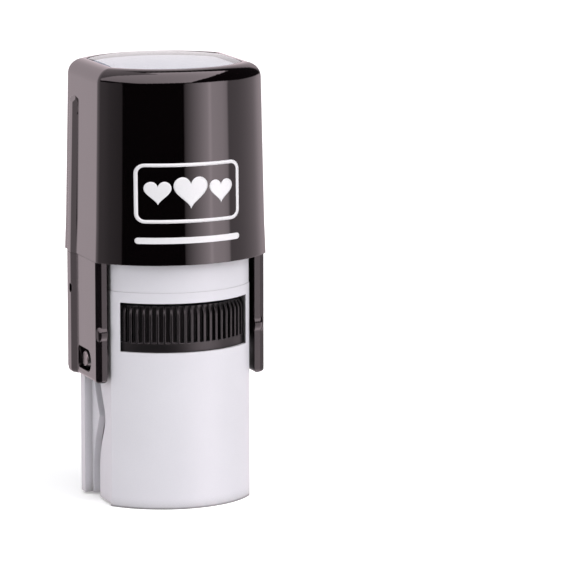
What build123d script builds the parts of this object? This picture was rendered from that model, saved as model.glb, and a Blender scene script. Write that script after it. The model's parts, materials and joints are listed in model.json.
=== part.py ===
"""Round self-inking stamp, modelled as the pieces it comes apart into.

The origin is the centre of the base's footprint on the paper. +Z is up, -Y is the front, and X
runs across the two legs. Sizes are millimetres. At rest the cap is fully up, and the rubber die
faces upwards against the ink pad.
"""

from build123d import *
import math
import os

# ---- driving dimensions: outlines -------------------------------------------------------------
# Seen from above, each outline is two flat sides joined by a bulging front and back. The three
# numbers are half the width across the flats, half the length of a flat, and the bulge.
BASE = (10.65, 6.63, 5.54)
CAP_SKIRT = (13.0, 7.33, 6.49)
CAP_WAIST = (12.83, 7.23, 6.40)
CAP_TOP = (12.38, 6.98, 6.18)
LABEL = (9.98, 5.71, 5.23)

# ---- driving dimensions: heights --------------------------------------------------------------
skirt_z = 36.0
waist_z = 41.0
cap_top_z = 63.9
dome_top_z = 64.5
pivot_z = 20.7
leg_bottom_z = 18.2
base_top_z = 43.0
window_z = (22.95, 30.16)
deck_z = (30.8, 32.2)

# ---- driving dimensions: mechanism ------------------------------------------------------------
travel = 16.7            # the cap's full stroke
die_reach = 4.0          # from the axle's centre to the printing face
crank_r = 1.3            # the axle swings forwards by twice this, half way through the stroke
axle_r = 1.2
axle_half_length = 12.42
running_gap = 0.05       # radial gap between the axle and what turns on it
slot_gap = 0.13          # the axle's gap in the cam slot, each side
die_r = 8.5
star_margin = 0.3
star_waist = 0.45        # the star's inner radius as a share of its tip radius
star_round = 0.35

# ---- driving dimensions: walls and sliding fits ------------------------------------------------
base_wall = 1.0
cap_wall = 0.95
cap_to_arm_gap = 0.12
leg_inner_x = 11.3
leg_outer_x = 12.9
leg_y = (-7.0, 7.1)
rib_reach_x = 11.73      # the base's guide ribs stand out to here
rib_y = (2.25, 4.1)
channel_y = (2.05, 4.3)  # the channel each rib runs in
channel_x = 11.93
channel_top_z = 57.1
rib_end_gap = 0.25       # left above each rib when the cap is fully down
rail_y = (1.9, 5.4)      # the low rail down the outside of the cap and the leg, at its feet
rail_crest_y = (3.0, 4.3)
rail_rise = 0.5
rail_root = 0.6          # how deep the rail's section starts inside the wall
rail_round = 0.4
rail_top_z = 58.9
rail_end_slope = 0.9
window_half_w = 9.6
past = 5.0               # how far a cutting solid runs past what it cuts


def middle(pair):
    return (pair[0] + pair[1]) / 2


def span(pair):
    return pair[1] - pair[0]


def rises(edge):
    """True for an edge that climbs, as the corners do, and false for a level one."""
    return abs((edge @ 0).Z - (edge @ 1).Z) > 1


def outline(size, inset=0.0, half_w=None):
    """An outline as a sketch, shrunk evenly by inset, its flats moved in to half_w if given.

    The front and back arcs keep their own centres, so a shrunk outline is a true offset.
    """
    full_w, half_d, bulge = size
    arc_r = (full_w**2 + bulge**2) / (2 * bulge)
    centre_y = arc_r - half_d - bulge
    w = (full_w - inset) if half_w is None else half_w
    r = arc_r - inset
    corner_y = math.sqrt(r**2 - w**2) - centre_y
    tip_y = r - centre_y
    with BuildSketch(mode=Mode.PRIVATE) as sketch:
        with BuildLine():
            ThreePointArc((-w, -corner_y), (0, -tip_y), (w, -corner_y))
            Line((w, -corner_y), (w, corner_y))
            ThreePointArc((w, corner_y), (0, tip_y), (-w, corner_y))
            Line((-w, corner_y), (-w, -corner_y))
        make_face()
    return sketch.sketch


def cap_size_at(z):
    """The cap's outer outline at height z, which narrows faster below the waist than above it."""
    if z < waist_z:
        low, high, share = CAP_SKIRT, CAP_WAIST, (z - skirt_z) / (waist_z - skirt_z)
    else:
        low, high, share = CAP_WAIST, CAP_TOP, (z - waist_z) / (cap_top_z - waist_z)
    return tuple(a + (b - a) * share for a, b in zip(low, high))


def axle_path(turn):
    """(y, z) of the axle's centre as the crank turns from 0 to a full turn over the stroke."""
    drop = travel * turn / (2 * math.pi)
    return (
        -crank_r * (1 - math.cos(turn)),
        pivot_z - drop - crank_r * math.sin(turn),
    )


def slot_edge(turn, side):
    """A point on the cam slot's edge: the axle's path moved sideways by the slot's half width."""
    half = axle_r + slot_gap
    slope_y = -crank_r * math.sin(turn)
    slope_z = -travel / (2 * math.pi) - crank_r * math.cos(turn)
    length = math.hypot(slope_y, slope_z)
    y, z = axle_path(turn)
    return (y - side * half * slope_z / length, z + side * half * slope_y / length)


def cam_slot():
    """The wavy slot that each end of the axle runs down, open at the bottom, drawn as (y, z)."""
    steps = 16
    turns = [2 * math.pi * step / steps for step in range(steps + 1)]
    half = axle_r + slot_gap
    with BuildSketch(mode=Mode.PRIVATE) as sketch:
        with BuildLine():
            front = Spline(*[slot_edge(turn, -1) for turn in turns])
            rear = Spline(*[slot_edge(turn, 1) for turn in turns])
            ThreePointArc(front @ 0, (0, pivot_z + half), rear @ 0)
            Polyline(front @ 1, (-half, -past), (half, -past), rear @ 1)
        make_face()
    return sketch.sketch


def rail_plan(face_x, crest_x):
    """The rail's cross-section, sloping from the side face at face_x up to a rounded crest."""
    root_x = face_x - rail_root
    with BuildSketch(mode=Mode.PRIVATE) as sketch:
        with BuildLine():
            Polyline(
                (root_x, rail_y[0]),
                (face_x, rail_y[0]),
                (crest_x, rail_crest_y[0]),
                (crest_x, rail_crest_y[1]),
                (face_x, rail_y[1]),
                (root_x, rail_y[1]),
                close=True,
            )
        make_face()
        fillet(sketch.vertices().group_by(Axis.X)[-1], radius=rail_round)
    return sketch.sketch


def star(tip_r):
    """A plain five-pointed star with one point towards -Y."""
    points = []
    for step in range(10):
        angle = math.radians(36 * step - 90)
        reach = tip_r if step % 2 == 0 else tip_r * star_waist
        points.append((reach * math.cos(angle), reach * math.sin(angle)))
    with BuildSketch(mode=Mode.PRIVATE) as sketch:
        Polygon(*points, align=None)
        fillet(sketch.vertices(), radius=star_round)
    return sketch.sketch


def save(part, label):
    part.label = label
    export_step(part, f"parts/{label}.step")


os.makedirs("parts", exist_ok=True)

# ---- base frame: the pale housing that stands on the paper -------------------------------------
seam_z = 31.7            # the faint step round the housing above the windows
seam_in = 0.06
collar_z = 37.0
collar_in = 0.26
corner_round = 0.35
post_r = 3.0
post_bore_r = 2.0
post_top_z = 41.5
rib_top_z = channel_top_z - travel - rib_end_gap
rib_root = 1.0
side_lift = 0.35         # the flat sides stand clear of the paper
ledge_x = (8.6, 9.85)
ledge_y = (5.6, 7.2)
ledge_thick = 0.9
pad_floor_z = 24.9       # the pad tray's side walls stand on the ledges at this height

with BuildPart() as base_frame:
    levels = ((0, seam_z, 0), (seam_z, collar_z, seam_in), (collar_z, base_top_z, collar_in))
    for low_z, high_z, inset in levels:
        with BuildSketch(Plane.XY.offset(low_z)):
            add(outline(BASE, inset))
        extrude(amount=high_z - low_z)
    fillet(base_frame.edges().filter_by(Axis.Z), radius=corner_round)
    # guide ribs on both sides, which the legs straddle
    with BuildSketch(Plane.XY.offset(side_lift)):
        for side in (-1, 1):
            with Locations((side * (rib_reach_x + BASE[0] - rib_root) / 2, middle(rib_y))):
                Rectangle(rib_reach_x - BASE[0] + rib_root, span(rib_y))
    extrude(amount=rib_top_z - side_lift)
    # the chamber below the deck and the well above it
    with BuildSketch():
        add(outline(BASE, base_wall))
    extrude(amount=deck_z[0], mode=Mode.SUBTRACT)
    with BuildSketch(Plane.XY.offset(deck_z[1])):
        add(outline(BASE, base_wall + collar_in))
    extrude(amount=base_top_z - deck_z[1], mode=Mode.SUBTRACT)
    # the hollow post that keeps the spring upright
    with BuildSketch(Plane.XY.offset(deck_z[0])):
        Circle(post_r)
    extrude(amount=post_top_z - deck_z[0])
    with BuildSketch(Plane.XY.offset(deck_z[1])):
        Circle(post_bore_r)
    extrude(amount=post_top_z - deck_z[1], mode=Mode.SUBTRACT)
    # four ledges that carry the pad tray
    with BuildSketch(Plane.XY.offset(pad_floor_z - ledge_thick)):
        for side in (-1, 1):
            for end in (-1, 1):
                with Locations((side * middle(ledge_x), end * middle(ledge_y))):
                    Rectangle(span(ledge_x), span(ledge_y))
    extrude(amount=ledge_thick)
    # the pad windows, front and back
    with BuildSketch(Plane.XZ):
        with Locations((0, middle(window_z))):
            Rectangle(2 * window_half_w, span(window_z))
    extrude(amount=BASE[1] + BASE[2] + past, both=True, mode=Mode.SUBTRACT)
    # the cam slots in both sides
    with BuildSketch(Plane.YZ):
        add(cam_slot())
    extrude(amount=rib_reach_x + past, both=True, mode=Mode.SUBTRACT)
    # only the front and back walls reach the paper
    with BuildSketch(Plane.YZ):
        Rectangle(2 * BASE[1] - 1, 2 * side_lift)
    extrude(amount=rib_reach_x + past, both=True, mode=Mode.SUBTRACT)
save(base_frame.part, "base_frame")

# ---- ink pad cartridge: tray, foam and cloth ---------------------------------------------------
tray_half_w = 9.5
tray_inset = 0.45
tray_top_z = 29.8
tray_round = 1.6
pad_r = 9.0
pad_gap = 0.05
cloth_z = (24.85, 25.15)
foam_top_z = 28.6
band_top_z = 24.3
band_inset = 1.45
grip_pitch = 4.6         # degrees from one grip rib to the next, about the front arc's centre
grip_count = 21
groove_depth = 0.75
groove_width = 0.65

base_arc_r = (BASE[0] ** 2 + BASE[2] ** 2) / (2 * BASE[2])
base_arc_y = base_arc_r - BASE[1] - BASE[2]

with BuildPart() as pad_tray:
    with BuildSketch(Plane.XY.offset(window_z[0])):
        add(outline(BASE, tray_inset, tray_half_w))
    extrude(amount=tray_top_z - window_z[0])
    rim = pad_tray.edges().group_by(Axis.Z)[-1].filter_by(GeomType.CIRCLE)
    fillet(rim, radius=tray_round)
    # below the tray proper, only a band along the front and back arcs is left
    with BuildSketch(Plane.XY.offset(window_z[0])):
        add(outline(BASE, band_inset, tray_half_w + base_wall))
    extrude(amount=pad_floor_z - window_z[0], mode=Mode.SUBTRACT)
    # the round pocket that holds the pad
    with BuildSketch(Plane.XY.offset(window_z[0])):
        Circle(pad_r + pad_gap)
    extrude(amount=foam_top_z - window_z[0], mode=Mode.SUBTRACT)
    # grip grooves up both ends, above the plain band
    for end in (-1, 1):
        with BuildSketch(Plane.XY.offset(band_top_z)):
            with Locations((0, -end * base_arc_y)):
                for step in range(grip_count + 1):
                    turn = (step - grip_count / 2) * grip_pitch + end * 90
                    with PolarLocations(base_arc_r - tray_inset, 1, start_angle=turn):
                        Rectangle(2 * groove_depth, groove_width)
        extrude(amount=tray_top_z - band_top_z, mode=Mode.SUBTRACT)
save(pad_tray.part, "pad_tray")

with BuildPart() as ink_pad_foam:
    with BuildSketch(Plane.XY.offset(cloth_z[1])):
        Circle(pad_r)
    extrude(amount=foam_top_z - cloth_z[1])
save(ink_pad_foam.part, "ink_pad_foam")

with BuildPart() as ink_pad_cloth:
    with BuildSketch(Plane.XY.offset(cloth_z[0])):
        Circle(pad_r)
    extrude(amount=span(cloth_z))
save(ink_pad_cloth.part, "ink_pad_cloth")

# ---- return spring: an open coil from the deck to the bridge -----------------------------------
wire_r = 0.4
coil_r = 4.6
coil_count = 9

bridge_z = (60.6, 61.9)
spring_low_z = deck_z[1] + wire_r
spring_high_z = bridge_z[0] - wire_r

with BuildPart() as return_spring:
    with BuildLine() as coil:
        Helix(
            pitch=(spring_high_z - spring_low_z) / coil_count,
            height=spring_high_z - spring_low_z,
            radius=coil_r,
            center=(0, 0, spring_low_z),
        )
    with BuildSketch(Plane(origin=coil.line @ 0, z_dir=coil.line % 0)):
        Circle(wire_r)
    sweep()
    # both ends ground flat
    with BuildSketch(Plane.XY.offset(spring_low_z - wire_r / 2)):
        Circle(coil_r + past)
    extrude(amount=spring_high_z - spring_low_z + wire_r, mode=Mode.INTERSECT)
save(return_spring.part, "return_spring")

# ---- axle: the steel pin whose ends run in the cam slots and in the legs -----------------------
axle_chamfer = 0.15

with BuildPart() as pivot_axle:
    with BuildSketch(Plane.YZ):
        with Locations((0, pivot_z)):
            Circle(axle_r)
    extrude(amount=axle_half_length, both=True)
    chamfer(pivot_axle.edges().filter_by(GeomType.CIRCLE), length=axle_chamfer)
save(pivot_axle.part, "pivot_axle")

# ---- die carrier, its cushion and the rubber die -----------------------------------------------
hub_r = 2.1
hub_half_length = 9.35
plate_r = 9.1
lip_inner_r = 8.7
plate_h = (1.3, 2.2)     # heights above the axle's centre
lip_h = 2.7
cushion_r = 8.6
cushion_h = 2.9
relief_h = 3.3

with BuildPart() as die_carrier:
    with BuildSketch(Plane.XY.offset(pivot_z + plate_h[0])):
        Circle(plate_r)
    extrude(amount=lip_h - plate_h[0])
    with BuildSketch(Plane.XY.offset(pivot_z + plate_h[1])):
        Circle(lip_inner_r)
    extrude(amount=lip_h - plate_h[1], mode=Mode.SUBTRACT)
    with BuildSketch(Plane.YZ):
        with Locations((0, pivot_z)):
            Circle(hub_r)
    extrude(amount=hub_half_length, both=True)
    # the plate's seat stays flat above the hub, and the axle's bore runs through
    with BuildSketch(Plane.XY.offset(pivot_z + plate_h[1])):
        Circle(lip_inner_r)
    extrude(amount=past, mode=Mode.SUBTRACT)
    with BuildSketch(Plane.YZ):
        with Locations((0, pivot_z)):
            Circle(axle_r + running_gap)
    extrude(amount=hub_half_length + past, both=True, mode=Mode.SUBTRACT)
save(die_carrier.part, "die_carrier")

with BuildPart() as die_cushion:
    with BuildSketch(Plane.XY.offset(pivot_z + plate_h[1])):
        Circle(cushion_r)
    extrude(amount=cushion_h - plate_h[1])
save(die_cushion.part, "die_cushion")

with BuildPart() as rubber_die:
    with BuildSketch(Plane.XY.offset(pivot_z + cushion_h)):
        Circle(die_r)
    extrude(amount=relief_h - cushion_h)
    with BuildSketch(Plane.XY.offset(pivot_z + relief_h)):
        add(star(die_r - star_margin))
    extrude(amount=die_reach - relief_h)
save(rubber_die.part, "rubber_die")

# ---- actuator yoke: the bridge under the cap's roof, with the two outer legs ---------------------
arm_half_d = 6.2
arm_foot_z = 35.0
arm_head_x = 10.62       # half the clear width between the arms under the bridge
shoulder_gap = 0.05
leg_front_bevel = (0.8, 0.45)
leg_rear_bevel = (0.7, 0.7)
leg_end_round = 0.6
seat_r = 3.4
seat_drop = 1.0
hole_y = (-4.4, 1.5)
hole_z = (19.35, 22.6)
hole_bow = 1.3
hole_round = 0.6
cavity_skin = 0.4
cavity_gap = 0.15
cavity_r = crank_r + axle_r + cavity_gap
bead_r = 1.5
bead_y = -5.8
bead_z = 25.4
bead_x = (11.3, 12.8)
bead_end_round = 0.6
vent_y = 3.2
vent_z = 30.75
vent_size = (1.35, 0.8)
vent_floor_x = 12.75

leg_top_z = skirt_z - shoulder_gap

with BuildPart() as bead:
    # the soft bead across the leg's front edge
    with BuildSketch(Plane.YZ.offset(bead_x[0])):
        with Locations((bead_y, bead_z)):
            Circle(bead_r)
    extrude(amount=span(bead_x))
    fillet(bead.edges().filter_by(GeomType.CIRCLE).group_by(Axis.X)[-1], radius=bead_end_round)

with BuildPart() as actuator_yoke:
    # one leg, on the +X side
    with BuildSketch(Plane.XY.offset(leg_bottom_z)):
        with BuildLine():
            Polyline(
                (leg_inner_x, leg_y[0]),
                (leg_outer_x - leg_front_bevel[0], leg_y[0]),
                (leg_outer_x, leg_y[0] + leg_front_bevel[1]),
                (leg_outer_x, leg_y[1] - leg_rear_bevel[1]),
                (leg_outer_x - leg_rear_bevel[0], leg_y[1]),
                (leg_inner_x, leg_y[1]),
                close=True,
            )
        make_face()
        add(rail_plan(leg_outer_x, CAP_SKIRT[0] + rail_rise))
    extrude(amount=leg_top_z - leg_bottom_z)
    fillet(actuator_yoke.edges().group_by(Axis.Z)[0], radius=leg_end_round)
    # the arm above it: the cap's inner form, hollowed for the base
    with BuildSketch(Plane.XY.offset(arm_foot_z)):
        add(outline(cap_size_at(arm_foot_z), cap_wall + cap_to_arm_gap))
        with Locations((leg_outer_x, 0)):
            Rectangle(2 * leg_outer_x, 2 * arm_half_d, mode=Mode.INTERSECT)
    with BuildSketch(Plane.XY.offset(bridge_z[1])):
        add(outline(cap_size_at(bridge_z[1]), cap_wall + cap_to_arm_gap))
        with Locations((leg_outer_x, 0)):
            Rectangle(2 * leg_outer_x, 2 * arm_half_d, mode=Mode.INTERSECT)
    loft(ruled=True)
    with BuildSketch(Plane.XZ):
        with BuildLine():
            Polyline(
                (0, leg_bottom_z),
                (leg_inner_x, leg_bottom_z),
                (leg_inner_x, arm_foot_z),
                (arm_head_x, bridge_z[0]),
                (0, bridge_z[0]),
                close=True,
            )
        make_face()
    extrude(amount=span(leg_y), both=True, mode=Mode.SUBTRACT)
    add(bead.part)
    # the channel for the base's guide rib
    with BuildSketch(Plane.XY.offset(leg_bottom_z)):
        with Locations(((leg_inner_x - 1 + channel_x) / 2, middle(channel_y))):
            Rectangle(channel_x - leg_inner_x + 1, span(channel_y))
    extrude(amount=channel_top_z - leg_bottom_z, mode=Mode.SUBTRACT)
    # the room behind the leg's skin for the axle's swing, open at the leg's lower end so the
    # axle can be fitted, and the window that shows the axle
    with BuildSketch(Plane.YZ.offset(leg_inner_x - 1)):
        with Locations((-crank_r, pivot_z)):
            Circle(cavity_r)
    extrude(amount=leg_outer_x - cavity_skin - leg_inner_x + 1, mode=Mode.SUBTRACT)
    with BuildSketch(Plane.YZ.offset(leg_inner_x)) as hole:
        with BuildLine():
            ThreePointArc(
                (hole_y[0] + hole_bow, hole_z[0]),
                (hole_y[0], middle(hole_z)),
                (hole_y[0] + hole_bow, hole_z[1]),
            )
            Polyline(
                (hole_y[0] + hole_bow, hole_z[1]),
                (hole_y[1], hole_z[1]),
                (hole_y[1], hole_z[0]),
                (hole_y[0] + hole_bow, hole_z[0]),
            )
        make_face()
        fillet(hole.vertices().group_by(Axis.X)[-1], radius=hole_round)
    extrude(amount=past, mode=Mode.SUBTRACT)
    # a small blind slot in the rail's crest
    with BuildSketch(Plane.YZ.offset(vent_floor_x)):
        with Locations((vent_y, vent_z)):
            SlotOverall(*vent_size, rotation=90)
    extrude(amount=past, mode=Mode.SUBTRACT)
    # the other side, and the boss that centres the spring's upper end
    mirror(about=Plane.YZ)
    with BuildSketch(Plane.XY.offset(bridge_z[0] - seat_drop)):
        Circle(seat_r)
    extrude(amount=seat_drop)
save(actuator_yoke.part, "actuator_yoke")

# ---- cap: the glossy cover that the hand presses ------------------------------------------------
roof_z = bridge_z[1]
top_round = 2.2
cap_corner_round = 1.1
pocket_z = 63.0
label_gap = 0.2
card_thick = 0.3
dome_r = 99.0           # the cover's top is a shallow part of a sphere

with BuildPart() as side_rail:
    for rail_z in (skirt_z, rail_top_z):
        face_x = cap_size_at(rail_z)[0]
        with BuildSketch(Plane.XY.offset(rail_z)):
            add(rail_plan(face_x, face_x + rail_rise))
    loft(ruled=True)
    # its upper end is a half round that slopes back to the cap
    with BuildSketch(Plane.YZ):
        with Locations((middle(rail_y), middle((skirt_z, rail_top_z)) - span(rail_y) / 2)):
            Rectangle(span(rail_y), rail_top_z - skirt_z - span(rail_y) / 2)
        with Locations((middle(rail_y), rail_top_z - span(rail_y) / 2)):
            Circle(span(rail_y) / 2)
    extrude(amount=CAP_SKIRT[0] + past, mode=Mode.INTERSECT)
    top_face_x = cap_size_at(rail_top_z)[0]
    with BuildSketch(Plane.XZ.offset(-rail_y[1])):
        with BuildLine():
            Polyline(
                (top_face_x, rail_top_z),
                (top_face_x + rail_rise, rail_top_z - rail_end_slope),
                (top_face_x + past, rail_top_z - rail_end_slope),
                (top_face_x + past, rail_top_z),
                close=True,
            )
        make_face()
    extrude(amount=span(rail_y), mode=Mode.SUBTRACT)

with BuildPart() as cap_shell:
    for low_z, high_z in ((skirt_z, waist_z), (waist_z, cap_top_z)):
        with BuildSketch(Plane.XY.offset(low_z)):
            add(outline(cap_size_at(low_z)))
        with BuildSketch(Plane.XY.offset(high_z)):
            add(outline(cap_size_at(high_z)))
        loft(ruled=True)
    fillet(cap_shell.edges().group_by(Axis.Z)[-1], radius=top_round)
    fillet(cap_shell.edges().filter_by(rises), radius=cap_corner_round)
    add(side_rail.part)
    mirror(side_rail.part, about=Plane.YZ)
    # the pocket in the roof for the label
    with BuildSketch(Plane.XY.offset(pocket_z)):
        add(outline(LABEL))
    extrude(amount=past, mode=Mode.SUBTRACT)
    # the hollow inside, as two matching tapers
    for low_z, high_z in ((skirt_z, waist_z), (waist_z, roof_z)):
        with BuildSketch(Plane.XY.offset(low_z)):
            add(outline(cap_size_at(low_z), cap_wall))
        with BuildSketch(Plane.XY.offset(high_z)):
            add(outline(cap_size_at(high_z), cap_wall))
        loft(ruled=True, mode=Mode.SUBTRACT)
    # channels behind the rails, which clear the base's guide ribs
    with BuildSketch(Plane.XY.offset(skirt_z)):
        with Locations((0, middle(channel_y))):
            Rectangle(2 * channel_x, span(channel_y))
    extrude(amount=channel_top_z - skirt_z, mode=Mode.SUBTRACT)
save(cap_shell.part, "cap_shell")

# ---- label card and its domed clear cover -------------------------------------------------------
with BuildPart() as label_card:
    with BuildSketch(Plane.XY.offset(pocket_z)):
        add(outline(LABEL, label_gap))
    extrude(amount=card_thick)
save(label_card.part, "label_card")

with BuildPart() as label_cover:
    with BuildSketch(Plane.XY.offset(pocket_z + card_thick)):
        add(outline(LABEL, label_gap))
    extrude(amount=dome_top_z - pocket_z - card_thick)
    with Locations((0, 0, dome_top_z - dome_r)):
        Sphere(dome_r, mode=Mode.INTERSECT)
save(label_cover.part, "label_cover")
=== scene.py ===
import json
import math

import bmesh
import bpy
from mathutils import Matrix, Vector
from mathutils.bvhtree import BVHTree

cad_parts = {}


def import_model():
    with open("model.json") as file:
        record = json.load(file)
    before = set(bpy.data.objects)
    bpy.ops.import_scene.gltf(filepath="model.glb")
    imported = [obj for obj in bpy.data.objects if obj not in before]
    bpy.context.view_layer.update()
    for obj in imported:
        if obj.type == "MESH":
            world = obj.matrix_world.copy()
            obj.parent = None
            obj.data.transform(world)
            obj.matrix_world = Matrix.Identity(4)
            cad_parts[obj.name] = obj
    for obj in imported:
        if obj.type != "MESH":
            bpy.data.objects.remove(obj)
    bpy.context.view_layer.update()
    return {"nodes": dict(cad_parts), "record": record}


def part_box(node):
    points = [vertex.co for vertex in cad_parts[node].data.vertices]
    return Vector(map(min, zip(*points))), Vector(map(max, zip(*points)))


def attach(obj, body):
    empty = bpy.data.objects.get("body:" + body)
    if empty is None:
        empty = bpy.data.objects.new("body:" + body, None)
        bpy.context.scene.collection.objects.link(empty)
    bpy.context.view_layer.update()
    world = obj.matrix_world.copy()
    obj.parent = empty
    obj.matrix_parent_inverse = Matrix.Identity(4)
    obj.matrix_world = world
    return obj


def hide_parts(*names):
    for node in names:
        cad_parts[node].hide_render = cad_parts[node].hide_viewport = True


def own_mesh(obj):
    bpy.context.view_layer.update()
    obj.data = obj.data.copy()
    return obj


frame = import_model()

MM = 0.001
BEVEL_SAMPLES = 4
SCENE = bpy.context.scene


# ---- node helpers --------------------------------------------------------------------------------
class Shader:
    """One material's node tree, with short calls for the nodes this scene uses."""

    def __init__(self, name, tree=None):
        self.material = None
        if tree is None:
            self.material = bpy.data.materials.new(name)
            self.material.use_nodes = True
            tree = self.material.node_tree
        self.tree = tree
        self.tree.nodes.clear()

    def add(self, kind, **settings):
        """A node of one kind. Settings whose names are inputs' names are given as inputs."""
        node = self.tree.nodes.new(kind)
        inputs = settings.pop("inputs", {})
        for key, value in settings.items():
            setattr(node, key, value)
        for key, value in inputs.items():
            self.feed(node, key, value)
        return node

    def feed(self, node, key, value):
        """Sets an input to a number or colour, or links another node's output to it."""
        if isinstance(value, bpy.types.NodeSocket):
            self.tree.links.new(value, node.inputs[key])
        elif node.inputs[key].type == "RGBA" and isinstance(value, tuple) and len(value) == 3:
            node.inputs[key].default_value = (*value, 1.0)
        else:
            node.inputs[key].default_value = value

    def position(self, stretch=(1.0, 1.0, 1.0)):
        """Object position in millimetres, stretched by a factor on each axis."""
        coords = self.add("ShaderNodeTexCoord").outputs["Object"]
        scale = tuple(1000.0 * s for s in stretch)
        return self.add("ShaderNodeMapping", inputs={"Vector": coords, "Scale": scale}).outputs[0]

    def height(self):
        """Object height in millimetres."""
        return self.add("ShaderNodeSeparateXYZ", inputs={0: self.position()}).outputs["Z"]

    def cells(self, per_mm):
        """Foam cells, as the distance to the nearest cell's middle."""
        settings = {"Vector": self.position(), "Scale": per_mm}
        return self.add("ShaderNodeTexVoronoi", inputs=settings).outputs["Distance"]

    def noise(self, per_mm, detail=3.0, roughness=0.5, stretch=(1.0, 1.0, 1.0)):
        where = self.position(stretch)
        settings = {"Vector": where, "Scale": per_mm, "Detail": detail, "Roughness": roughness}
        return self.add("ShaderNodeTexNoise", inputs=settings).outputs["Fac"]

    def remap(self, value, low, high, to_low, to_high):
        settings = {"Value": value, "From Min": low, "From Max": high,
                    "To Min": to_low, "To Max": to_high}
        return self.add("ShaderNodeMapRange", inputs=settings).outputs["Result"]

    def math(self, operation, a, b=0.0):
        node = self.add("ShaderNodeMath", operation=operation)
        self.feed(node, 0, a)
        self.feed(node, 1, b)
        return node.outputs[0]

    def mix(self, share, a, b):
        """A colour share of the way from a to b."""
        node = self.add("ShaderNodeMix", data_type="RGBA")
        for index, value in ((0, share), (6, a), (7, b)):
            self.feed(node, index, value)
        return node.outputs[2]

    def rounded(self, radius_mm):
        """The surface normal with sharp edges softened to a small radius."""
        settings = {"Radius": radius_mm * MM}
        return self.add("ShaderNodeBevel", samples=BEVEL_SAMPLES, inputs=settings).outputs["Normal"]

    def bump(self, height, depth_mm, strength=1.0, edge_mm=0.0):
        settings = {"Height": height, "Distance": depth_mm * MM, "Strength": strength}
        if edge_mm:
            settings["Normal"] = self.rounded(edge_mm)
        return self.add("ShaderNodeBump", inputs=settings).outputs["Normal"]

    def principled(self, **inputs):
        named = {key.replace("_", " "): value for key, value in inputs.items()}
        return self.add("ShaderNodeBsdfPrincipled", inputs=named).outputs["BSDF"]

    def finish(self, surface):
        self.add("ShaderNodeOutputMaterial", inputs={"Surface": surface})
        return self.material


def sharp_edge_mask(shader, width_mm):
    """1 on sharp edges and 0 on flats, from how far a rounded normal turns from the plain one."""
    flat, full_edge = 0.999, 0.93
    rounded = shader.rounded(width_mm)
    plain = shader.add("ShaderNodeNewGeometry").outputs["Normal"]
    both = {0: rounded, 1: plain}
    dot = shader.add("ShaderNodeVectorMath", operation="DOT_PRODUCT", inputs=both)
    return shader.remap(dot.outputs["Value"], flat, full_edge, 0.0, 1.0)


# ---- materials -----------------------------------------------------------------------------------
def base_plastic():
    """Pale lavender-grey housing, spark-eroded to a fine satin, with painted shade along its foot.
    """
    s = Shader("base_plastic")
    grain = s.noise(7.0, 4.0, 0.6)
    cloud = s.noise(0.12, 3.0)
    colour = s.mix(cloud, (0.61, 0.597, 0.636), (0.665, 0.652, 0.693))
    colour = s.mix(s.remap(grain, 0.35, 0.75, 0.0, 0.25), colour, (0.55, 0.54, 0.58))
    # painted shade along the foot: the colour is darkened in its lowest third of a millimetre
    painted_foot_shade = s.remap(s.height(), 0.10, 0.34, 0.8, 0.0)
    colour = s.mix(painted_foot_shade, colour, (0.13, 0.125, 0.13))
    # painted shade: corners that little light reaches are darkened in the colour
    sky = s.add("ShaderNodeAmbientOcclusion", samples=6, inputs={"Distance": 2.2 * MM})
    painted_corner_shade = s.remap(sky.outputs["AO"], 0.25, 0.8, 0.75, 0.0)
    colour = s.mix(painted_corner_shade, colour, (0.16, 0.155, 0.145))
    return s.finish(s.principled(
        Base_Color=colour,
        Roughness=s.remap(grain, 0.3, 0.7, 0.38, 0.52),
        Specular_IOR_Level=0.35,
        Subsurface_Weight=0.12,
        Subsurface_Radius=(1.0, 0.95, 1.05),
        Subsurface_Scale=0.6 * MM,
        Normal=s.bump(grain, 0.012, 0.6, edge_mm=0.15),
    ))


def black_plastic(name, base, rough_low, rough_high, ripple, shine):
    """Glossy black moulding with faint flow ripple and hairline scratches from handling."""
    s = Shader(name)
    flow = s.noise(0.18, 2.0)
    hair = s.noise(1.6, 5.0, 0.7, stretch=(1.0, 1.0, 0.06))
    rough = s.remap(hair, 0.35, 0.8, rough_low, rough_high)
    colour = s.mix(s.remap(hair, 0.62, 0.85, 0.0, 0.4), base, tuple(3.0 * c for c in base))
    return s.finish(s.principled(
        Base_Color=colour,
        Roughness=rough,
        Specular_IOR_Level=shine,
        Normal=s.bump(flow, ripple, 0.35, edge_mm=0.12),
    ))


def tray_plastic():
    """Satin black moulding of the pad cartridge, its rib tips polished by fingers and given a
    painted highlight.
    """
    s = Shader("tray_plastic")
    grain = s.noise(6.0, 4.0, 0.6)
    # rib tips: smoother from wear, and lighter in colour as a painted highlight
    tips = sharp_edge_mask(s, 0.12)
    matt = s.remap(grain, 0.3, 0.7, 0.34, 0.46)
    return s.finish(s.principled(
        Base_Color=s.mix(tips, (0.004, 0.0036, 0.004), (0.075, 0.068, 0.074)),
        Roughness=s.math("SUBTRACT", matt, s.math("MULTIPLY", tips, 0.12)),
        Specular_IOR_Level=0.38,
        Normal=s.bump(grain, 0.008, 0.5, edge_mm=0.16),
    ))


def carrier_plastic():
    """Dark grey satin moulding, stained red where ink has crept over it."""
    s = Shader("carrier_plastic")
    grain = s.noise(5.0, 4.0)
    stain = s.remap(s.noise(0.35, 3.0), 0.52, 0.7, 0.0, 0.7)
    return s.finish(s.principled(
        Base_Color=s.mix(stain, (0.05, 0.05, 0.054), (0.12, 0.008, 0.01)),
        Roughness=s.remap(grain, 0.3, 0.7, 0.35, 0.5),
        Normal=s.bump(grain, 0.01, 0.5),
    ))


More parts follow.
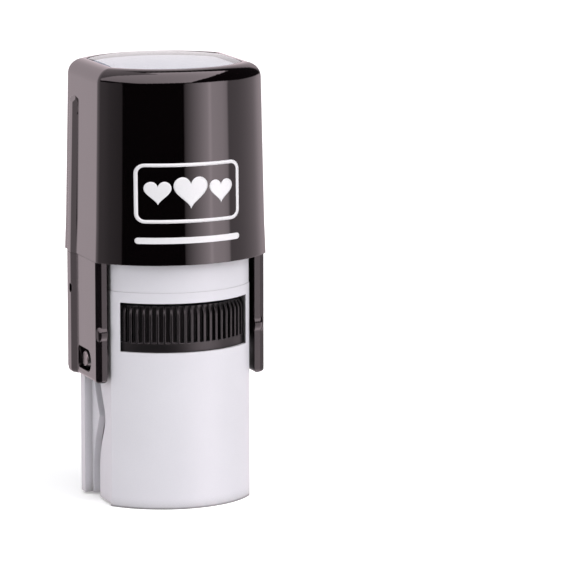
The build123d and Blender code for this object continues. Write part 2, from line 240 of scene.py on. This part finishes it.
def clear_plastic():
    """Thin polished plate, clear through its faces and dense through its edge."""
    s = Shader("clear_plastic")
    smear = s.noise(0.4, 3.0, 0.6, stretch=(1.0, 0.35, 1.0))
    geometry = s.add("ShaderNodeNewGeometry")
    upright = s.add("ShaderNodeSeparateXYZ", inputs={0: geometry.outputs["Normal"]}).outputs["Z"]
    edge = s.remap(s.math("ABSOLUTE", upright), 0.2, 0.8, 1.0, 0.0)
    tint = s.mix(edge, (0.965, 0.97, 0.985), (0.62, 0.65, 0.70))
    through = s.add("ShaderNodeBsdfTransparent", inputs={"Color": tint}).outputs[0]
    shine = s.add("ShaderNodeBsdfGlossy", inputs={
        "Color": (0.86, 0.95, 0.92),
        "Roughness": s.remap(smear, 0.35, 0.75, 0.03, 0.12),
    }).outputs[0]
    veil = s.add("ShaderNodeBsdfDiffuse", inputs={"Color": (0.80, 0.80, 0.86)}).outputs[0]
    # the inner faces don't mirror, because light isn't bent on its way through
    outer = s.math("SUBTRACT", 1.0, geometry.outputs["Backfacing"])
    fresnel = s.add("ShaderNodeFresnel", inputs={"IOR": 1.45}).outputs[0]
    fresnel = s.math("MULTIPLY", fresnel, outer)
    hazy = s.add("ShaderNodeMixShader", inputs={0: s.remap(smear, 0.3, 0.8, 0.04, 0.10)})
    s.feed(hazy, 1, through)
    s.feed(hazy, 2, veil)
    whole = s.add("ShaderNodeMixShader", inputs={0: fresnel})
    s.feed(whole, 1, hazy.outputs[0])
    s.feed(whole, 2, shine)
    return s.finish(whole.outputs[0])


def card():
    """Uncoated pale card with short paper fibres."""
    s = Shader("card")
    fibre = s.noise(9.0, 5.0, 0.7, stretch=(1.0, 0.3, 1.0))
    return s.finish(s.principled(
        Base_Color=s.mix(fibre, (0.60, 0.61, 0.635), (0.54, 0.55, 0.58)),
        Roughness=0.85,
        Normal=s.bump(fibre, 0.01, 0.5),
    ))


def pad_foam():
    """Open-cell foam soaked with red ink."""
    s = Shader("pad_foam")
    depth = s.cells(3.2)
    return s.finish(s.principled(
        Base_Color=s.mix(depth, (0.36, 0.008, 0.012), (0.13, 0.002, 0.004)),
        Roughness=0.62,
        Normal=s.bump(depth, 0.06, 0.8),
    ))


def pad_cloth():
    """Fine plain-woven cloth, wet with red ink."""
    s = Shader("pad_cloth")
    waves = []
    for axis in ("X", "Y"):
        settings = {"Vector": s.position(), "Scale": 1.15, "Distortion": 0.15, "Detail": 1.0}
        threads = s.add("ShaderNodeTexWave", bands_direction=axis, inputs=settings)
        waves.append(threads.outputs["Fac"])
    weave = s.math("MULTIPLY", waves[0], waves[1])
    wet = s.noise(0.3, 3.0)
    return s.finish(s.principled(
        Base_Color=s.mix(weave, (0.18, 0.004, 0.008), (0.42, 0.010, 0.016)),
        Roughness=s.remap(wet, 0.3, 0.7, 0.22, 0.5),
        Sheen_Weight=0.15,
        Normal=s.bump(weave, 0.05, 0.8),
    ))


def die_rubber():
    """Laser-cut rubber, darker and wetter on the raised printing face."""
    s = Shader("die_rubber")
    grain = s.noise(4.0, 5.0, 0.65)
    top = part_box("rubber_die")[1].z / MM
    inked = s.remap(s.height(), top - 0.35, top - 0.05, 0.0, 1.0)
    matt = s.remap(grain, 0.3, 0.7, 0.5, 0.75)
    return s.finish(s.principled(
        Base_Color=s.mix(inked, (0.30, 0.10, 0.09), (0.40, 0.008, 0.014)),
        Roughness=s.math("SUBTRACT", matt, s.math("MULTIPLY", inked, 0.25)),
        Normal=s.bump(grain, 0.02, 0.6),
    ))


def die_foam():
    """Closed-cell foam tape."""
    s = Shader("die_foam")
    cells = s.cells(5.0)
    return s.finish(s.principled(
        Base_Color=s.mix(cells, (0.66, 0.65, 0.62), (0.50, 0.48, 0.45)),
        Roughness=0.8,
        Normal=s.bump(cells, 0.03, 0.7),
    ))


def steel(name, dark, light):
    """Drawn steel, with fine lines along the drawing direction."""
    s = Shader(name)
    lines = s.noise(5.0, 4.0, 0.7, stretch=(0.08, 1.0, 1.0))
    return s.finish(s.principled(
        Base_Color=s.mix(lines, dark, light),
        Metallic=1.0,
        Roughness=s.remap(lines, 0.3, 0.7, 0.22, 0.4),
        Normal=s.bump(lines, 0.005, 0.5, edge_mm=0.1),
    ))


def print_ink():
    """White pad-printed ink, slightly uneven."""
    s = Shader("print_ink")
    grain = s.noise(6.0, 4.0, 0.6)
    thin = s.remap(grain, 0.45, 0.8, 0.0, 0.35)
    return s.finish(s.principled(
        Base_Color=s.mix(thin, (0.70, 0.69, 0.71), (0.50, 0.49, 0.51)),
        Roughness=s.remap(grain, 0.3, 0.7, 0.25, 0.4),
        Normal=s.bump(grain, 0.004, 0.5),
    ))


MATERIALS = {
    "base_plastic": base_plastic(),
    "cap_plastic": black_plastic("cap_plastic", (0.0009, 0.0004, 0.0006), 0.012, 0.05, 0.012, 0.5),
    "yoke_plastic": black_plastic("yoke_plastic", (0.0050, 0.0034, 0.0042), 0.08, 0.16, 0.012, 0.5),
    "tray_plastic": tray_plastic(),
    "carrier_plastic": carrier_plastic(),
    "clear_plastic": clear_plastic(),
    "card": card(),
    "pad_foam": pad_foam(),
    "pad_cloth": pad_cloth(),
    "die_rubber": die_rubber(),
    "die_foam": die_foam(),
    "steel": steel("steel", (0.52, 0.52, 0.54), (0.70, 0.70, 0.71)),
    "pin_steel": steel("pin_steel", (0.17, 0.16, 0.16), (0.26, 0.25, 0.25)),
}

SLOT_OF = {part["node"]: part["material_slot"] for part in frame["record"]["subparts"]}
BODY_OF = {}
for body, nodes in frame["record"]["behaviour"]["bodies"].items():
    for node in nodes:
        BODY_OF[node] = body

for node, obj in frame["nodes"].items():
    obj.data.materials.clear()
    obj.data.materials.append(MATERIALS[SLOT_OF[node]])


# ---- mesh helpers --------------------------------------------------------------------------------
def piece_from(name, mesh_data, node, material=None):
    """A shown piece made from a bmesh, with the material of the CAD node it belongs to."""
    mesh = bpy.data.meshes.new(name)
    bmesh.ops.recalc_face_normals(mesh_data, faces=mesh_data.faces)
    mesh_data.to_mesh(mesh)
    mesh_data.free()
    mesh.shade_smooth()
    obj = bpy.data.objects.new(name, mesh)
    SCENE.collection.objects.link(obj)
    mesh.materials.append(material or MATERIALS[SLOT_OF[node]])
    return obj


def lathe(profile, segments=96):
    """A closed solid turned about Z, from (radius, height) points with both ends on the axis."""
    made = bmesh.new()
    low = made.verts.new((0, 0, profile[0][1]))
    high = made.verts.new((0, 0, profile[-1][1]))
    rings = []
    for radius, height in profile[1:-1]:
        ring = []
        for step in range(segments):
            angle = 2 * math.pi * step / segments
            x, y = radius * math.cos(angle), radius * math.sin(angle)
            ring.append(made.verts.new((x, y, height)))
        rings.append(ring)
    for step in range(segments):
        after = (step + 1) % segments
        made.faces.new((low, rings[0][after], rings[0][step]))
        made.faces.new((high, rings[-1][step], rings[-1][after]))
        for lower, upper in zip(rings, rings[1:]):
            made.faces.new((lower[step], lower[after], upper[after], upper[step]))
    return made


def tube(path, radius, sides=14):
    """A closed round wire along a path of points."""
    made = bmesh.new()
    rings = []
    for index, point in enumerate(path):
        ahead = path[min(index + 1, len(path) - 1)] - path[max(index - 1, 0)]
        ahead.normalize()
        outward = Vector((point.x, point.y, 0)).normalized()
        across = ahead.cross(outward).normalized()
        outward = across.cross(ahead)
        ring = []
        for step in range(sides):
            angle = 2 * math.pi * step / sides
            offset = radius * (math.cos(angle) * outward + math.sin(angle) * across)
            ring.append(made.verts.new(point + offset))
        rings.append(ring)
    for lower, upper in zip(rings, rings[1:]):
        for step in range(sides):
            after = (step + 1) % sides
            made.faces.new((lower[step], lower[after], upper[after], upper[step]))
    made.faces.new(list(reversed(rings[0])))
    made.faces.new(rings[-1])
    return made


# ---- soft pieces: ink pad and foam tape ----------------------------------------------------------
def rounded_disc(node, edge, crown_low=0.0, crown_high=0.0, waist=0.0):
    """A disc in the CAD node's space with rounded edges, crowned faces and a drawn-in waist."""
    low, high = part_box(node)
    radius = (high.x - low.x) / 2
    profile = [(0, low.z + 0.0)]
    steps = 6
    rings = 10
    for step in range(1, rings):
        share = step / rings
        profile.append((share * (radius - edge), low.z + crown_low * share ** 3))
    for step in range(steps + 1):
        turn = math.pi / 2 * step / steps
        out = radius - edge + edge * math.sin(turn)
        profile.append((out, low.z + crown_low + edge * (1 - math.cos(turn))))
    middle = (low.z + high.z) / 2
    profile.append((radius - waist, middle))
    for step in range(steps + 1):
        turn = math.pi / 2 * (1 - step / steps)
        out = radius - edge + edge * math.sin(turn)
        profile.append((out, high.z - crown_high - edge * (1 - math.cos(turn))))
    for step in range(rings - 1, 0, -1):
        share = step / rings
        profile.append((share * (radius - edge), high.z - crown_high * share ** 3))
    profile.append((0, high.z))
    return lathe(profile)


def soft_piece(name, node, **shape):
    """A rounded disc shown in place of a CAD node, riding on its body."""
    piece = piece_from(name, rounded_disc(node, **shape), node)
    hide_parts(node)
    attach(piece, BODY_OF[node])
    return piece


soft_piece("pad_foam_block", "ink_pad_foam", edge=0.25 * MM, waist=0.12 * MM)
soft_piece("pad_cloth_face", "ink_pad_cloth", edge=0.13 * MM, crown_low=0.03 * MM)
soft_piece("die_foam_tape", "die_cushion", edge=0.12 * MM, waist=0.07 * MM)


# ---- return spring -------------------------------------------------------------------------------
def spring_coil():
    """A compression spring with a closed turn at each end, in the CAD spring's space."""
    low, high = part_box("return_spring")
    wire = 0.4 * MM
    coil = (high.x - low.x) / 2 - wire
    turns = 10.0
    closed = 1.0
    per_turn = 48
    bottom, top = low.z + wire, high.z - wire
    path = []
    rise_closed = 2.1 * wire
    for step in range(int(turns * per_turn) + 1):
        turn = step / per_turn
        angle = 2 * math.pi * turn
        if turn < closed:
            height = bottom + rise_closed * turn
        elif turn > turns - closed:
            height = top - rise_closed * (turns - turn)
        else:
            share = (turn - closed) / (turns - 2 * closed)
            height = bottom + rise_closed + share * (top - bottom - 2 * rise_closed)
        path.append(Vector((coil * math.cos(angle), coil * math.sin(angle), height)))
    return tube(path, wire)


spring = piece_from("spring_coil", spring_coil(), "return_spring")
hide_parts("return_spring")
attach(spring, BODY_OF["return_spring"])
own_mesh(spring)


# ---- print on the cap ----------------------------------------------------------------------------
def surface_of(node):
    """A ray-cast tree over a CAD node's mesh."""
    mesh = frame["nodes"][node].data
    points = [v.co.copy() for v in mesh.vertices]
    faces = [tuple(p.vertices) for p in mesh.polygons]
    return BVHTree.FromPolygons(points, faces)


CAP_SURFACE = surface_of("cap_shell")
WELL_IN_FRONT = -0.1
INK_FOOT, INK_TOP = -0.01 * MM, 0.03 * MM       # the ink starts just under the cap's surface
MOTIF_X, MOTIF_Z = -0.7 * MM, 46.4 * MM
FRAME_SIZE = (15.6 * MM, 8.6 * MM)
FRAME_CORNER = 1.4 * MM
FRAME_STROKE = 0.5 * MM
HEARTS = ((-4.7, 3.4), (0.0, 4.6), (4.7, 3.4))  # millimetres: (across from the middle, height)
BAR_Z = 39.6 * MM
BAR_SIZE = (15.6 * MM, 0.9 * MM)
BAR_CORNER = 0.44 * MM


def on_cap_front(x, z, lift):
    """The point on the cap's front at x and z, lifted off the surface."""
    start = Vector((x, WELL_IN_FRONT, z))
    hit, normal, _, _ = CAP_SURFACE.ray_cast(start, Vector((0, 1, 0)))
    if normal.y > 0:
        normal = -normal
    return hit + normal * lift


def print_patch(made, loops, solid=False):
    """Adds one printed shape: loops of (x, z) points, each joined to the next.

    A solid shape's first loop is filled; otherwise it is the edge of a hole.
    """
    sheets = []
    for lift in (INK_FOOT, INK_TOP):
        sheet = []
        for loop in loops:
            sheet.append([made.verts.new(on_cap_front(x, z, lift)) for x, z in loop])
        sheets.append(sheet)
    count = len(loops[0])
    for sheet in sheets:
        for inner, outer in zip(sheet, sheet[1:]):
            for step in range(count):
                after = (step + 1) % count
                made.faces.new((inner[step], inner[after], outer[after], outer[step]))
    if solid:
        for sheet in sheets:
            made.faces.new(sheet[0])
    for ring in ((-1,) if solid else (0, -1)):
        below, above = sheets[0][ring], sheets[1][ring]
        for step in range(count):
            after = (step + 1) % count
            made.faces.new((below[step], below[after], above[after], above[step]))


def rounded_rectangle(centre, size, radius, per_side=24, per_corner=6):
    """Points round a rounded rectangle."""
    cx, cz = centre
    half_w, half_h = size[0] / 2 - radius, size[1] / 2 - radius

    def on_arc(corner, degrees):
        sx, sz = corner
        angle = math.radians(degrees)
        return (cx + sx * half_w + radius * math.cos(angle),
                cz + sz * half_h + radius * math.sin(angle))

    corners = ((1, 1), (-1, 1), (-1, -1), (1, -1))
    points = []
    for index, corner in enumerate(corners):
        start = 90 * index
        for step in range(per_corner + 1):
            points.append(on_arc(corner, start + 90 * step / per_corner))
        last, target = points[-1], on_arc(corners[(index + 1) % 4], start + 90)
        for step in range(1, per_side):
            share = step / per_side
            points.append(tuple(a + (b - a) * share for a, b in zip(last, target)))
    return points


def scaled(points, centre, factor):
    """Points drawn in towards the centre by a factor."""
    cx, cz = centre
    return [(cx + (x - cx) * factor, cz + (z - cz) * factor) for x, z in points]


def heart(centre, height, count=64):
    """Points round a plain heart. Its curve is about 29 units high, with its middle near -2.5."""
    span, middle = 29, -2.5
    points = []
    for step in range(count):
        t = 2 * math.pi * step / count
        x = 16 * math.sin(t) ** 3
        z = 13 * math.cos(t) - 5 * math.cos(2 * t) - 2 * math.cos(3 * t) - math.cos(4 * t)
        points.append((centre[0] + x * height / span, centre[1] + (z - middle) * height / span))
    return points


def filled(points, centre, rings=7):
    """Loops from near the centre out to the shape's edge."""
    return [scaled(points, centre, (step + 1) / rings) for step in range(rings)]


def cap_print():
    """A plain frame with three hearts in it and a bar below: generic craft-tool decoration."""
    made = bmesh.new()
    middle = (MOTIF_X, MOTIF_Z)
    outer = rounded_rectangle(middle, FRAME_SIZE, FRAME_CORNER)
    inner_size = tuple(side - 2 * FRAME_STROKE for side in FRAME_SIZE)
    inner = rounded_rectangle(middle, inner_size, FRAME_CORNER - FRAME_STROKE)
    print_patch(made, [inner, outer])
    for offset, height in HEARTS:
        centre = (MOTIF_X + offset * MM, MOTIF_Z)
        print_patch(made, filled(heart(centre, height * MM), centre), solid=True)
    bar_centre = (MOTIF_X, BAR_Z)
    bar = rounded_rectangle(bar_centre, BAR_SIZE, BAR_CORNER, per_side=40)
    print_patch(made, filled(bar, bar_centre, rings=24), solid=True)
    return made


motif = piece_from("cap_print", cap_print(), "cap_shell", print_ink())
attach(motif, BODY_OF["cap_shell"])


# ---- studio: floor, light, world, camera ---------------------------------------------------------
FLOOR_REACH = 6.0
GLOW_NEAR, GLOW_FAR = (30.0, 0.30), (250.0, 0.60)   # (millimetres from the object, strength)


def floor():
    """A plain white floor that glows more far off, so that it meets the backdrop."""
    made = bmesh.new()
    for x, y in ((-1, -1), (1, -1), (1, 1), (-1, 1)):
        made.verts.new((x * FLOOR_REACH, y * FLOOR_REACH, 0))
    made.faces.new(made.verts)
    mesh = bpy.data.meshes.new("floor")
    made.to_mesh(mesh)
    made.free()
    obj = bpy.data.objects.new("floor", mesh)
    SCENE.collection.objects.link(obj)
    s = Shader("floor")
    matt = s.principled(Base_Color=(0.90, 0.90, 0.90), Roughness=0.9, Specular_IOR_Level=0.0)
    seen = s.add("ShaderNodeLightPath").outputs["Is Camera Ray"]
    away = s.add("ShaderNodeVectorMath", operation="LENGTH", inputs={0: s.position()})
    rise = s.remap(away.outputs["Value"], GLOW_NEAR[0], GLOW_FAR[0], GLOW_NEAR[1], GLOW_FAR[1])
    strength = s.math("MULTIPLY", seen, rise)
    glow = s.add("ShaderNodeEmission", inputs={"Strength": strength}).outputs[0]
    surface = s.add("ShaderNodeAddShader")
    s.feed(surface, 0, matt)
    s.feed(surface, 1, glow)
    mesh.materials.append(s.finish(surface.outputs[0]))
    obj.visible_glossy = False


def ramp(shader, value, stops):
    """A colour ramp of grey levels given as (position, level)."""
    node = shader.add("ShaderNodeValToRGB", inputs={"Fac": value})
    elements = node.color_ramp.elements
    while len(elements) > 1:
        elements.remove(elements[-1])
    elements[0].position = stops[0][0]
    elements[0].color = (*[stops[0][1]] * 3, 1)
    for position, level in stops[1:]:
        element = elements.new(position)
        element.color = (level, level, level, 1)
    return node.outputs["Color"]


# What the glossy cap mirrors at eye level: (degrees round from the front towards +X, brightness).
# A card behind and to the left, nothing in front, then a bright strip and a soft card to the right.
ROUND_LEVELS = (
    (-180, 1.1), (-163, 1.3), (-115, 1.35), (-95, 1.1), (-85, 0.8), (-72, 0.5), (-59, 0.36),
    (-58, 0.02), (7.5, 0.02), (8.5, 0.65), (15, 1.5), (24, 2.7), (34, 4.2), (37, 5.4), (39, 4.3),
    (52, 3.7), (58, 2.9), (60.5, 1.0), (74, 1.0), (87, 1.1), (101, 1.2), (112, 1.5), (140, 1.1),
    (180, 1.1),
)
SIDE_CARD_TOP = 0.17        # the cards at eye level end at this height on the unit sphere
RIGHT_CARD_TOP = 0.04       # and the one at the far right ends lower
LEFT_CARD_END = -92.0       # left of this bearing, and behind, the cards reach right up
LEFT_CARD_FADE = 4.0
BEHIND = (0.5, 0.6)         # how far back on the unit sphere that begins and is complete
CARD_FADE = 0.03
# The overhead card's edges, as slopes from straight up. Each fades in from the first to the second.
OVERHEAD_LEFT, OVERHEAD_RIGHT = (-2.7, -2.4), (0.85, 0.80)
OVERHEAD_FRONT, OVERHEAD_BACK = (3.1, 2.9), (-0.35, -0.30)
OVERHEAD_DARK, OVERHEAD_LIGHT = (0.003, 0.003, 0.003), (1.0, 1.0, 1.0)
LEVEL_SCALE = 10.0          # a colour ramp only reaches 1, so levels are stored this much lower
REFLECTION_TINT = (1.10, 0.93, 0.99)


def world():
    """White behind everything; in reflections, cards at the sides and one above, dark between."""
    made = bpy.data.worlds.new("studio")
    made.use_nodes = True
    SCENE.world = made
    s = Shader("studio", made.node_tree)
    towards = s.add("ShaderNodeTexCoord").outputs["Generated"]
    way = s.add("ShaderNodeSeparateXYZ", inputs={0: towards})
    backwards = s.math("MULTIPLY", way.outputs["Y"], -1.0)
    turn = s.math("ARCTAN2", way.outputs["X"], backwards)
    share = s.remap(turn, -math.pi, math.pi, 0.0, 1.0)
    stops = [((deg + 180) / 360, level / LEVEL_SCALE) for deg, level in ROUND_LEVELS]
    around = ramp(s, share, stops)
    # the overhead card: a rectangle on the ceiling, brighter to the right
    height = s.math("MAXIMUM", way.outputs["Z"], 0.001)
    across = s.math("DIVIDE", way.outputs["X"], height)
    ahead = s.math("DIVIDE", backwards, height)
    inside = s.remap(across, *OVERHEAD_LEFT, 0.0, 1.0)
    for slope, edge in ((across, OVERHEAD_RIGHT), (ahead, OVERHEAD_FRONT), (ahead, OVERHEAD_BACK)):
        inside = s.math("MULTIPLY", inside, s.remap(slope, *edge, 0.0, 1.0))
    level = s.math("MULTIPLY", inside, s.remap(across, -1.5, 0.8, 0.30, 0.42))
    overhead = s.mix(level, OVERHEAD_DARK, OVERHEAD_LIGHT)
    right_from, right_to = math.radians(50), math.radians(75)
    card_top = s.remap(turn, right_from, right_to, SIDE_CARD_TOP, RIGHT_CARD_TOP)
    above = s.math("SUBTRACT", way.outputs["Z"], card_top)
    lift = s.remap(above, 0.0, CARD_FADE, 0.0, 1.0)
    left_from, left_to = math.radians(LEFT_CARD_END), math.radians(LEFT_CARD_END + LEFT_CARD_FADE)
    not_left = s.remap(turn, left_from, left_to, 0.0, 1.0)
    not_behind = s.remap(way.outputs["Y"], *BEHIND, 1.0, 0.0)
    lift = s.math("MULTIPLY", s.math("MULTIPLY", lift, not_left), not_behind)
    mirrored = s.mix(lift, around, overhead)
    tint = s.add("ShaderNodeMix", data_type="RGBA", blend_type="MULTIPLY")
    for index, value in ((0, 1.0), (6, mirrored), (7, REFLECTION_TINT)):
        s.feed(tint, index, value)
    mirrored_light = {"Color": tint.outputs[2], "Strength": LEVEL_SCALE}
    glossy = s.add("ShaderNodeBackground", inputs=mirrored_light)
    plain = s.add("ShaderNodeBackground", inputs={"Color": (1.0, 1.0, 1.0), "Strength": 1.1})
    soft = s.add("ShaderNodeBackground", inputs={"Color": (0.98, 0.98, 1.0), "Strength": 0.55})
    rays = s.add("ShaderNodeLightPath")
    diffuse_mix = s.add("ShaderNodeMixShader", inputs={0: rays.outputs["Is Camera Ray"]})
    s.feed(diffuse_mix, 1, soft.outputs[0])
    s.feed(diffuse_mix, 2, plain.outputs[0])
    both = s.add("ShaderNodeMixShader", inputs={0: rays.outputs["Is Glossy Ray"]})
    s.feed(both, 1, diffuse_mix.outputs[0])
    s.feed(both, 2, glossy.outputs[0])
    s.add("ShaderNodeOutputWorld", inputs={"Surface": both.outputs[0]})


LIGHT_AIM = Vector((0, 0, 0.03))
# name, degrees round from the front, degrees up, distance and side in metres, watts
SOFTBOXES = (
    ("key", 42, 28, 0.7, 0.5, 2.25),
    ("top", -10, 75, 0.7, 0.6, 2.4),
    ("fill", -48, 12, 0.8, 0.6, 1.3),
)


def softbox(name, azimuth, elevation, distance, size, watts):
    """A square soft light that shines on the object from a direction, unseen in reflections."""
    light = bpy.data.lights.new(name, "AREA")
    light.shape = "SQUARE"
    light.size = size
    light.energy = watts
    obj = bpy.data.objects.new(name, light)
    a, e = math.radians(azimuth), math.radians(elevation)
    away = Vector((math.sin(a) * math.cos(e), -math.cos(a) * math.cos(e), math.sin(e)))
    obj.location = away * distance + LIGHT_AIM
    obj.rotation_euler = away.to_track_quat("Z", "Y").to_euler()
    obj.visible_glossy = False
    SCENE.collection.objects.link(obj)


CAMERA_AZIMUTH, CAMERA_ELEVATION = -19.16, 9.79     # degrees
CAMERA_DISTANCE = 0.6384
CAMERA_CENTRE = Vector((0, 0, 0.03263))             # near the middle of the object
AIM_RIGHT, AIM_DOWN = 0.01794, 0.00232              # metres from there to where it points
CAMERA_LENS, CAMERA_SENSOR = 273.3, 36.0
CAMERA_CLIP = (0.05, 50.0)


def camera():
    """The camera stands front left, a little above, with the object left of centre."""
    azimuth, elevation = math.radians(CAMERA_AZIMUTH), math.radians(CAMERA_ELEVATION)
    back = Vector((math.sin(azimuth) * math.cos(elevation),
                   -math.cos(azimuth) * math.cos(elevation), math.sin(elevation)))
    right = Vector((math.cos(azimuth), math.sin(azimuth), 0))
    up = back.cross(right)
    aim = CAMERA_CENTRE + right * AIM_RIGHT - up * AIM_DOWN
    data = bpy.data.cameras.new("camera")
    data.lens = CAMERA_LENS
    data.sensor_width = CAMERA_SENSOR
    obj = bpy.data.objects.new("camera", data)
    obj.location = CAMERA_CENTRE + back * CAMERA_DISTANCE
    obj.rotation_euler = (aim - obj.location).to_track_quat("-Z", "Y").to_euler()
    data.clip_start, data.clip_end = CAMERA_CLIP
    SCENE.collection.objects.link(obj)
    SCENE.camera = obj


floor()
world()
for settings in SOFTBOXES:
    softbox(*settings)
camera()
SCENE.view_settings.view_transform = "Standard"
